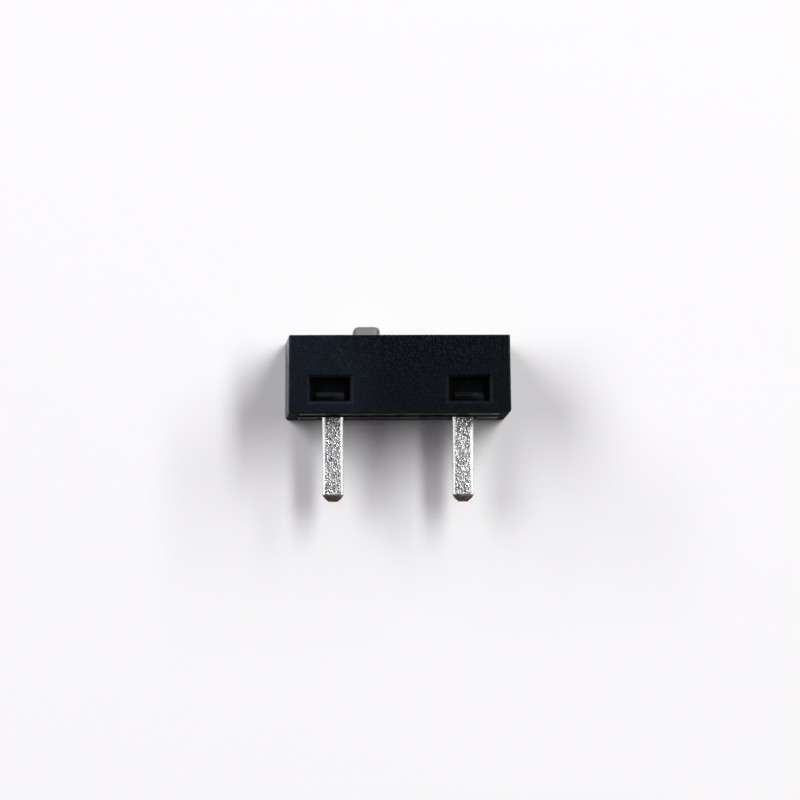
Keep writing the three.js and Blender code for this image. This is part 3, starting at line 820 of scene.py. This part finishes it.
def paint_node(node, material):
    """Puts a material on a CAD node, whose mesh stays as it is."""
    for slot in frame["nodes"][node].material_slots:
        slot.material = material


def body_of(node):
    """The body that a CAD node rides on."""
    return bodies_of(frame["nodes"][node])[0]


def merged(mesh):
    """The points and faces of loose triangles, merged, with level faces made one."""
    shape = bmesh.new()
    shape.from_mesh(mesh)
    bmesh.ops.remove_doubles(shape, verts=shape.verts, dist=MERGE_DISTANCE)
    bmesh.ops.dissolve_limit(shape, angle_limit=LEVEL_ANGLE, verts=shape.verts, edges=shape.edges)
    shape.verts.index_update()
    points = [vertex.co[:] for vertex in shape.verts]
    faces = [[vertex.index for vertex in face.verts] for face in shape.faces]
    shape.free()
    return points, faces


def without_slivers(mesh):
    """Takes faces and edges without size out of a mesh."""
    shape = bmesh.new()
    shape.from_mesh(mesh)
    bmesh.ops.dissolve_degenerate(shape, dist=MERGE_DISTANCE, edges=shape.edges)
    shape.to_mesh(mesh)
    shape.free()


def finished_copy(node, name, edge_radius, material):
    """A CAD solid as a finished piece: merged, its sharp edges broken, its arcs shaded round."""
    thing = built(name, *merged(frame["nodes"][node].data))
    edges = {"width": edge_radius, "segments": BEVEL_SEGMENTS}
    modified(thing, "BEVEL", **edges, limit_method="ANGLE", angle_limit=BEVEL_ANGLE)
    without_slivers(thing.data)
    thing.data.shade_smooth()
    thing.data.set_sharp_from_angle(angle=SHARP_ANGLE)
    modified(thing, "WEIGHTED_NORMAL", keep_sharp=True)
    paint(thing, material)
    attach(thing, body_of(node))
    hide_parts(node)
    return thing


def turned(name, outline, x, steps=24):
    """A soft piece turned about the upright axis at x from a closed outline of (radius, z)."""
    shape = bmesh.new()
    rings = []
    for step in range(steps):
        turn = math.tau * step / steps
        ring = [(x + radius * math.cos(turn), radius * math.sin(turn), z) for radius, z in outline]
        rings.append([shape.verts.new(spot) for spot in ring])
    for ring, following in zip(rings, rings[1:] + rings[:1]):
        for here in range(len(outline)):
            shape.faces.new((ring[here - 1], following[here - 1], following[here], ring[here]))
    bmesh.ops.recalc_face_normals(shape, faces=shape.faces)
    mesh = bpy.data.meshes.new(name)
    shape.to_mesh(mesh)
    shape.free()
    mesh.shade_smooth()
    thing = new_object(name, mesh)
    return modified(thing, "SUBSURF", levels=SMOOTH_LEVELS, render_levels=SMOOTH_LEVELS)


# ---- geometry nodes ----


def geometry_tree(name, sizes, counts=()):
    """An empty Geometry Nodes tree that takes sizes, counts and a material."""
    tree = bpy.data.node_groups.new(name, "GeometryNodeTree")
    kinds = dict.fromkeys(sizes, "Float") | dict.fromkeys(counts, "Int") | {"Material": "Material"}
    for label, kind in kinds.items():
        tree.interface.new_socket(label, in_out="INPUT", socket_type="NodeSocket" + kind)
    tree.interface.new_socket("Geometry", in_out="OUTPUT", socket_type="NodeSocketGeometry")
    return tree, put(tree, "NodeGroupInput").outputs


def close_tree(tree, geometry, material):
    """Ends a tree with real, smooth geometry in one material."""
    smooth = result(tree, "GeometryNodeSetShadeSmooth", {"Geometry": geometry})
    real = result(tree, "GeometryNodeRealizeInstances", {"Geometry": smooth})
    painted = result(tree, "GeometryNodeSetMaterial", {"Geometry": real, "Material": material})
    put(tree, "NodeGroupOutput", {0: painted})
    return tree


def grown(name, tree, values):
    """An object made by a tree with these inputs, as a plain mesh."""
    thing = new_object(name, bpy.data.meshes.new(name))
    modifier = thing.modifiers.new(name, "NODES")
    modifier.node_group = tree
    for socket in tree.interface.items_tree:
        if socket.in_out == "INPUT":
            modifier[socket.identifier] = values[socket.name]
    return applied(thing)


def in_row(tree, geometry, copies, pitch, height):
    """Copies of the geometry along X, centred on the origin, all at one height."""
    whole = times(tree, maths(tree, "SUBTRACT", copies, 1.0), pitch)
    start = vector(tree, x=times(tree, whole, -0.5), z=height)
    sockets = {"Count": copies, "Start Location": start, "Offset": vector(tree, x=pitch)}
    row = result(tree, "GeometryNodeMeshLine", sockets)
    return result(tree, "GeometryNodeInstanceOnPoints", {"Points": row, "Instance": geometry})


def rounded_loop(tree, length_x, length_y, radius, count):
    """A rectangle with round corners, as a curve in the XY plane."""
    sockets = {"Width": length_x, "Height": length_y}
    loop = result(tree, "GeometryNodeCurvePrimitiveQuadrilateral", sockets)
    sockets = {"Curve": loop, "Radius": radius, "Count": count, "Limit Radius": True}
    return result(tree, "GeometryNodeFilletCurve", sockets, mode="POLY")


def seal_tree():
    """Seals that run round a rounded rectangle: each side of the section may be hollowed."""
    sizes = ["Outer Length", "Outer Width", "Outer Corner", "Section Width", "Bottom", "Top"]
    sizes += ["Bottom Hollow", "Top Hollow", "Pitch"]
    tree, given = geometry_tree("swept_seal", sizes, counts=["Copies"])
    width = given["Section Width"]
    half = times(tree, width, 0.5)
    path = rounded_loop(
        tree,
        maths(tree, "SUBTRACT", given["Outer Length"], width),
        maths(tree, "SUBTRACT", given["Outer Width"], width),
        maths(tree, "SUBTRACT", given["Outer Corner"], half),
        PATH_CORNER_POINTS,
    )
    height = maths(tree, "SUBTRACT", given["Top"], given["Bottom"])
    corner = times(tree, height, SECTION_CORNER)
    section = rounded_loop(tree, width, height, corner, SECTION_CORNER_POINTS)
    sockets = {"Curve": section, "Count": SECTION_POINTS}
    section = result(tree, "GeometryNodeResampleCurve", sockets)

    # In the section x runs outwards and y runs down.
    spot = parts(tree, result(tree, "GeometryNodeInputPosition"))
    across = maths(tree, "DIVIDE", spot[0], half)
    sag = maths(tree, "SUBTRACT", 1.0, times(tree, across, across))
    down = maths(tree, "DIVIDE", spot[1], height)
    lower = maths(tree, "GREATER_THAN", down, HOLLOW_FROM)
    upper = maths(tree, "LESS_THAN", down, -HOLLOW_FROM)
    hollow = maths(
        tree,
        "SUBTRACT",
        times(tree, upper, given["Top Hollow"]),
        times(tree, lower, given["Bottom Hollow"]),
    )
    sockets = {"Geometry": section, "Offset": vector(tree, y=times(tree, sag, hollow))}
    section = result(tree, "GeometryNodeSetPosition", sockets)

    swept = result(tree, "GeometryNodeCurveToMesh", {"Curve": path, "Profile Curve": section})
    middle = times(tree, maths(tree, "ADD", given["Top"], given["Bottom"]), 0.5)
    row = in_row(tree, swept, given["Copies"], given["Pitch"], middle)
    return close_tree(tree, row, given["Material"])


def mark_tree():
    """Rings left by ejector pins, in rows and columns."""
    sizes = ["Radius", "Rim", "Pitch X", "Pitch Y", "Height"]
    tree, given = geometry_tree("ejector_marks", sizes)
    sockets = {"Resolution": MARK_POINTS, "Radius": given["Radius"]}
    circle = result(tree, "GeometryNodeCurvePrimitiveCircle", sockets)
    sockets = {"Resolution": MARK_RIM_POINTS, "Radius": given["Rim"]}
    rim = result(tree, "GeometryNodeCurvePrimitiveCircle", sockets)
    mark = result(tree, "GeometryNodeCurveToMesh", {"Curve": circle, "Profile Curve": rim})
    columns, rows = MARK_GRID
    sockets = {
        "Size X": times(tree, given["Pitch X"], columns - 1),
        "Size Y": times(tree, given["Pitch Y"], rows - 1),
        "Vertices X": columns,
        "Vertices Y": rows,
    }
    grid = result(tree, "GeometryNodeMeshGrid", sockets)
    marks = result(tree, "GeometryNodeInstanceOnPoints", {"Points": grid, "Instance": mark})
    sockets = {"Geometry": marks, "Offset": vector(tree, z=given["Height"])}
    placed = result(tree, "GeometryNodeSetPosition", sockets)
    return close_tree(tree, placed, given["Material"])


# ---- operators ----


class SWITCH_OT_cover(Operator):
    """Finish the moulded cover"""

    bl_idname = "switch.cover"
    bl_label = "Cover"

    def execute(self, context):
        look = context.scene.switch_looks.cover
        shell = finished_copy("cover", "cover_shell", look.edge, cover_plastic(look))
        return {"FINISHED"}


class SWITCH_OT_base(Operator):
    """Finish the moulded base, with the marks of the ejector pins on its underside"""

    bl_idname = "switch.base"
    bl_label = "Base"

    def execute(self, context):
        look = context.scene.switch_looks.base
        plastic = base_plastic(look)
        tray = finished_copy("base", "base_tray", look.edge, plastic)

        values = {
            "Radius": look.mark,
            "Rim": look.mark_rim,
            "Pitch X": look.mark_pitch_x,
            "Pitch Y": look.mark_pitch_y,
            "Height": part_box("cover")[0].z,
            "Material": plastic,
        }
        marks = grown("ejector_marks", mark_tree(), values)
        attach(marks, body_of("base"))
        return {"FINISHED"}


class SWITCH_OT_terminals(Operator):
    """Finish the two terminals and the rest stop"""

    bl_idname = "switch.terminals"
    bl_label = "Terminals"

    def execute(self, context):
        look = context.scene.switch_looks.metal
        tin = tin_plating(look, tip_z=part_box("common_terminal")[0].z)
        stampings = {
            "common_terminal": "common_pin",
            "open_terminal": "open_pin",
            "rest_stop": "stop_post",
        }
        for node, name in stampings.items():
            stamping = finished_copy(node, name, look.edge, tin)
        return {"FINISHED"}


class SWITCH_OT_snap(Operator):
    """Finish the snap blade and the contacts"""

    bl_idname = "switch.snap"
    bl_label = "Snap Blade and Contacts"

    def execute(self, context):
        look = context.scene.switch_looks.metal
        paint_node("snap_blade", spring_bronze(look))
        silver = contact_silver(look)
        paint_node("fixed_contact", silver)
        paint_node("moving_contact", silver)
        return {"FINISHED"}


class SWITCH_OT_button(Operator):
    """Finish the button, its silicone boot and the plate that clamps the boot"""

    bl_idname = "switch.button"
    bl_label = "Button and Boot"

    def execute(self, context):
        look = context.scene.switch_looks.button
        button = finished_copy("plunger", "button_plunger", look.edge, button_plastic(look))
        boot = make_boot(look)
        paint(boot, boot_silicone(look))
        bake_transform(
            boot,
            body_of("cover"),
            body_of("plunger"),
            start=self.at_axis(-look.rim_height),
            end=self.at_axis(-look.rim_height - look.web),
        )
        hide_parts("plunger_boot")
        paint_node("boot_retainer", zinc_plating(context.scene.switch_looks.metal))
        return {"FINISHED"}

    def at_axis(self, height):
        """The point on the button's axis at a height above the boot's top."""
        low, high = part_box("plunger_boot")
        return ((low.x + high.x) / 2, 0, high.z + height)


def make_boot(look):
    """The boot: a bead in the plunger's groove, a web that turns up, and a clamped rim."""
    low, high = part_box("plunger_boot")
    radius = (high.x - low.x) / 2
    bottom, top = low.z, high.z
    web = look.web
    rim = top - look.rim_height
    outside = radius - look.rim_width
    inside = outside - web
    bead = inside - look.web_gap
    turn = web / 2
    outline = [
        (look.groove, bottom),
        (bead, bottom),
        (outside - turn, bottom),
        (outside, bottom + turn),
        (outside, rim),
        (outside + turn, rim),
        (radius - turn, rim),
        (radius, rim),
        (radius, rim + turn),
        (radius, top - turn),
        (radius, top),
        (radius - turn, top),
        (inside + turn, top),
        (inside, top),
        (inside, top - turn),
        (inside, bottom + web + turn),
        (inside - turn, bottom + web),
        (bead, bottom + web),
        (bead, bottom + look.bead_height - turn / 2),
        (bead - turn / 2, bottom + look.bead_height),
        (look.groove, bottom + look.bead_height),
    ]
    return turned("soft_boot", outline, (low.x + high.x) / 2)


class SWITCH_OT_seals(Operator):
    """Make the gasket between base and cover, and the resin round the pins"""

    bl_idname = "switch.seals"
    bl_label = "Gasket and Resin"

    def execute(self, context):
        look = context.scene.switch_looks.seals
        tree = seal_tree()

        low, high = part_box("perimeter_gasket")
        values = {
            "Outer Corner": look.gasket_corner,
            "Section Width": look.gasket_width,
            "Bottom": low.z,
            "Top": high.z,
            "Bottom Hollow": look.lip,
            "Top Hollow": look.lip,
            "Copies": 1,
            "Pitch": 0.0,
            "Material": gasket_rubber(look),
        }
        gasket = grown("rubber_gasket", tree, values | outer_size(low, high))
        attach(gasket, body_of("perimeter_gasket"))
        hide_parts("perimeter_gasket")

        low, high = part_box("open_seal")
        values = {
            "Outer Corner": look.resin_corner,
            "Section Width": look.resin_width,
            "Bottom": low.z - look.meniscus,
            "Top": high.z,
            "Bottom Hollow": look.meniscus,
            "Top Hollow": 0.0,
            "Copies": 2,
            "Pitch": low.x + high.x,
            "Material": seal_resin(look),
        }
        resin = grown("pin_resin", tree, values | outer_size(low, high))
        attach(resin, body_of("open_seal"))
        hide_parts("common_seal", "open_seal")
        return {"FINISHED"}


def outer_size(low, high):
    """A box's length and width, as a seal's inputs."""
    return {"Outer Length": high.x - low.x, "Outer Width": high.y - low.y}


class SWITCH_OT_stage(Operator):
    """Set the table, the lamps, the world and the camera"""

    bl_idname = "switch.stage"
    bl_label = "Stage"

    def execute(self, context):
        scene = context.scene
        look = scene.switch_looks.stage
        low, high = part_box("cover")
        make_table(look, high.y)
        make_cards(look)
        middle = Vector((0, high.y, 0))
        for name, (slopes, radii) in PANEL_LAMPS.items():
            panel_lamp(look, name, middle, slopes, radii)
        rear_lamp(look, middle)
        make_world(look, scene)
        make_camera(look, scene, low.y)
        scene.view_settings.view_transform = "Standard"
        return {"FINISHED"}


def make_table(look, y):
    """The table behind the rear face; lamps behind it can still light that face."""
    half = look.table_size / 2
    points = [(-half, y, -half), (half, y, -half), (half, y, half), (-half, y, half)]
    table = built("table", points, [(0, 1, 2, 3)])
    paint(table, table_top(look))
    table.visible_shadow = False


def make_cards(look):
    """Black cards in front and below that only reflections see."""
    half = look.table_size / 2
    right, far, near = look.card_right, -look.card_far, -look.card_near
    upright = [(-half, far, -half), (right, far, -half), (right, far, half), (-half, far, half)]
    lower = [(-half, near, -half), (right, near, -half)]
    cards = built("dark_cards", upright + lower, [(0, 1, 2, 3), (0, 4, 5, 1)])
    paint(cards, card_black(look))
    cards.visible_camera = False
    cards.visible_diffuse = False
    cards.visible_shadow = False


def panel_lamp(look, name, target, slopes, radii):
    """A soft oval lamp, parallel to the table, with the power for its part of the light there."""
    data = bpy.data.lights.new(name, "AREA")
    data.shape = "ELLIPSE"
    data.size = 2 * radii[0] * look.lamp_distance
    data.size_y = 2 * radii[1] * look.lamp_distance
    falling = 1 / (1 + slopes[0] ** 2 + slopes[1] ** 2)
    data.energy = getattr(look, name) * (math.pi * look.lamp_distance / falling) ** 2
    made = new_object(name, data)
    made.location = target + look.lamp_distance * Vector((slopes[0], -1, slopes[1]))
    made.rotation_euler = (math.radians(90), 0, 0)


def rear_lamp(look, target):
    """A lamp straight behind, for the face that lies on the table."""
    data = bpy.data.lights.new("rear_lamp", "AREA")
    data.size = REAR_LAMP_SIZE * look.lamp_distance
    data.energy = look.rear_lamp * math.pi**2 * look.lamp_distance**2
    made = new_object("rear_lamp", data)
    made.location = target + Vector((0, look.lamp_distance, 0))
    made.rotation_euler = (math.radians(-90), 0, 0)
    made.visible_glossy = False


def make_world(look, scene):
    """Even fill light, and white where the background or its mirror image shows."""
    world = bpy.data.worlds.new("studio")
    world.use_nodes = True
    tree = world.node_tree
    tree.nodes.clear()
    rays = put(tree, "ShaderNodeLightPath").outputs
    mirrored = maths(tree, "MAXIMUM", rays["Is Glossy Ray"], rays["Is Transmission Ray"])
    seen = maths(tree, "MAXIMUM", rays["Is Camera Ray"], mirrored)
    soft = result(tree, "ShaderNodeBackground", {"Color": (*look.fill, 1), "Strength": 1})
    white = result(tree, "ShaderNodeBackground", {"Color": (1, 1, 1, 1), "Strength": 1})
    both = result(tree, "ShaderNodeMixShader", {0: seen, 1: soft, 2: white})
    put(tree, "ShaderNodeOutputWorld", {"Surface": both})
    scene.world = world


def make_camera(look, scene, front):
    """The camera, a little to the left of and below the switch, aimed at its front face."""
    data = bpy.data.cameras.new("camera")
    data.sensor_width = SENSOR_WIDTH
    data.lens = SENSOR_WIDTH * look.distance / look.view_width
    data.clip_start = look.distance / CLIP_RATIO
    data.clip_end = look.distance * CLIP_RATIO
    made = new_object("camera", data)
    level = math.cos(look.elevation)
    across, away = math.sin(look.azimuth) * level, -math.cos(look.azimuth) * level
    back = Vector((across, away, math.sin(look.elevation)))
    place = Vector((0, front, look.aim_height)) + back * look.distance
    turn = (-back).to_track_quat("-Z", "Y").to_matrix().to_4x4()
    made.matrix_world = Matrix.Translation(place) @ turn @ Matrix.Rotation(look.roll, 4, "Z")
    scene.camera = made


class SWITCH_PT_looks(Panel):
    """Settings and steps of the switch"""

    bl_label = "Sealed Switch"
    bl_idname = "SWITCH_PT_looks"
    bl_space_type = "VIEW_3D"
    bl_region_type = "UI"
    bl_category = "Switch"

    def draw(self, context):
        looks = context.scene.switch_looks
        for step, settings in STEPS:
            box = self.layout.box()
            box.operator(step.bl_idname)
            group = getattr(looks, settings)
            for name in group.bl_rna.properties.keys():
                if name not in ("rna_type", "name"):
                    box.prop(group, name)


STEPS = (
    (SWITCH_OT_cover, "cover"),
    (SWITCH_OT_base, "base"),
    (SWITCH_OT_terminals, "metal"),
    (SWITCH_OT_snap, "metal"),
    (SWITCH_OT_button, "button"),
    (SWITCH_OT_seals, "seals"),
    (SWITCH_OT_stage, "stage"),
)

CLASSES = (
    CoverLook,
    BaseLook,
    MetalLook,
    ButtonLook,
    SealLook,
    StageLook,
    SwitchLooks,
    *(step for step, _ in STEPS),
    SWITCH_PT_looks,
)


def register():
    """Registers the classes and the settings."""
    for cls in CLASSES:
        bpy.utils.register_class(cls)
    bpy.types.Scene.switch_looks = PointerProperty(type=SwitchLooks)


def unregister():
    """Takes the settings and the classes away again."""
    del bpy.types.Scene.switch_looks
    for cls in reversed(CLASSES):
        bpy.utils.unregister_class(cls)


def main():
    """Builds everything."""
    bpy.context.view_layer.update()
    register()
    for step, _ in STEPS:
        group, name = step.bl_idname.split(".")
        getattr(getattr(bpy.ops, group), name)()


if __name__ == "__main__":
    main()
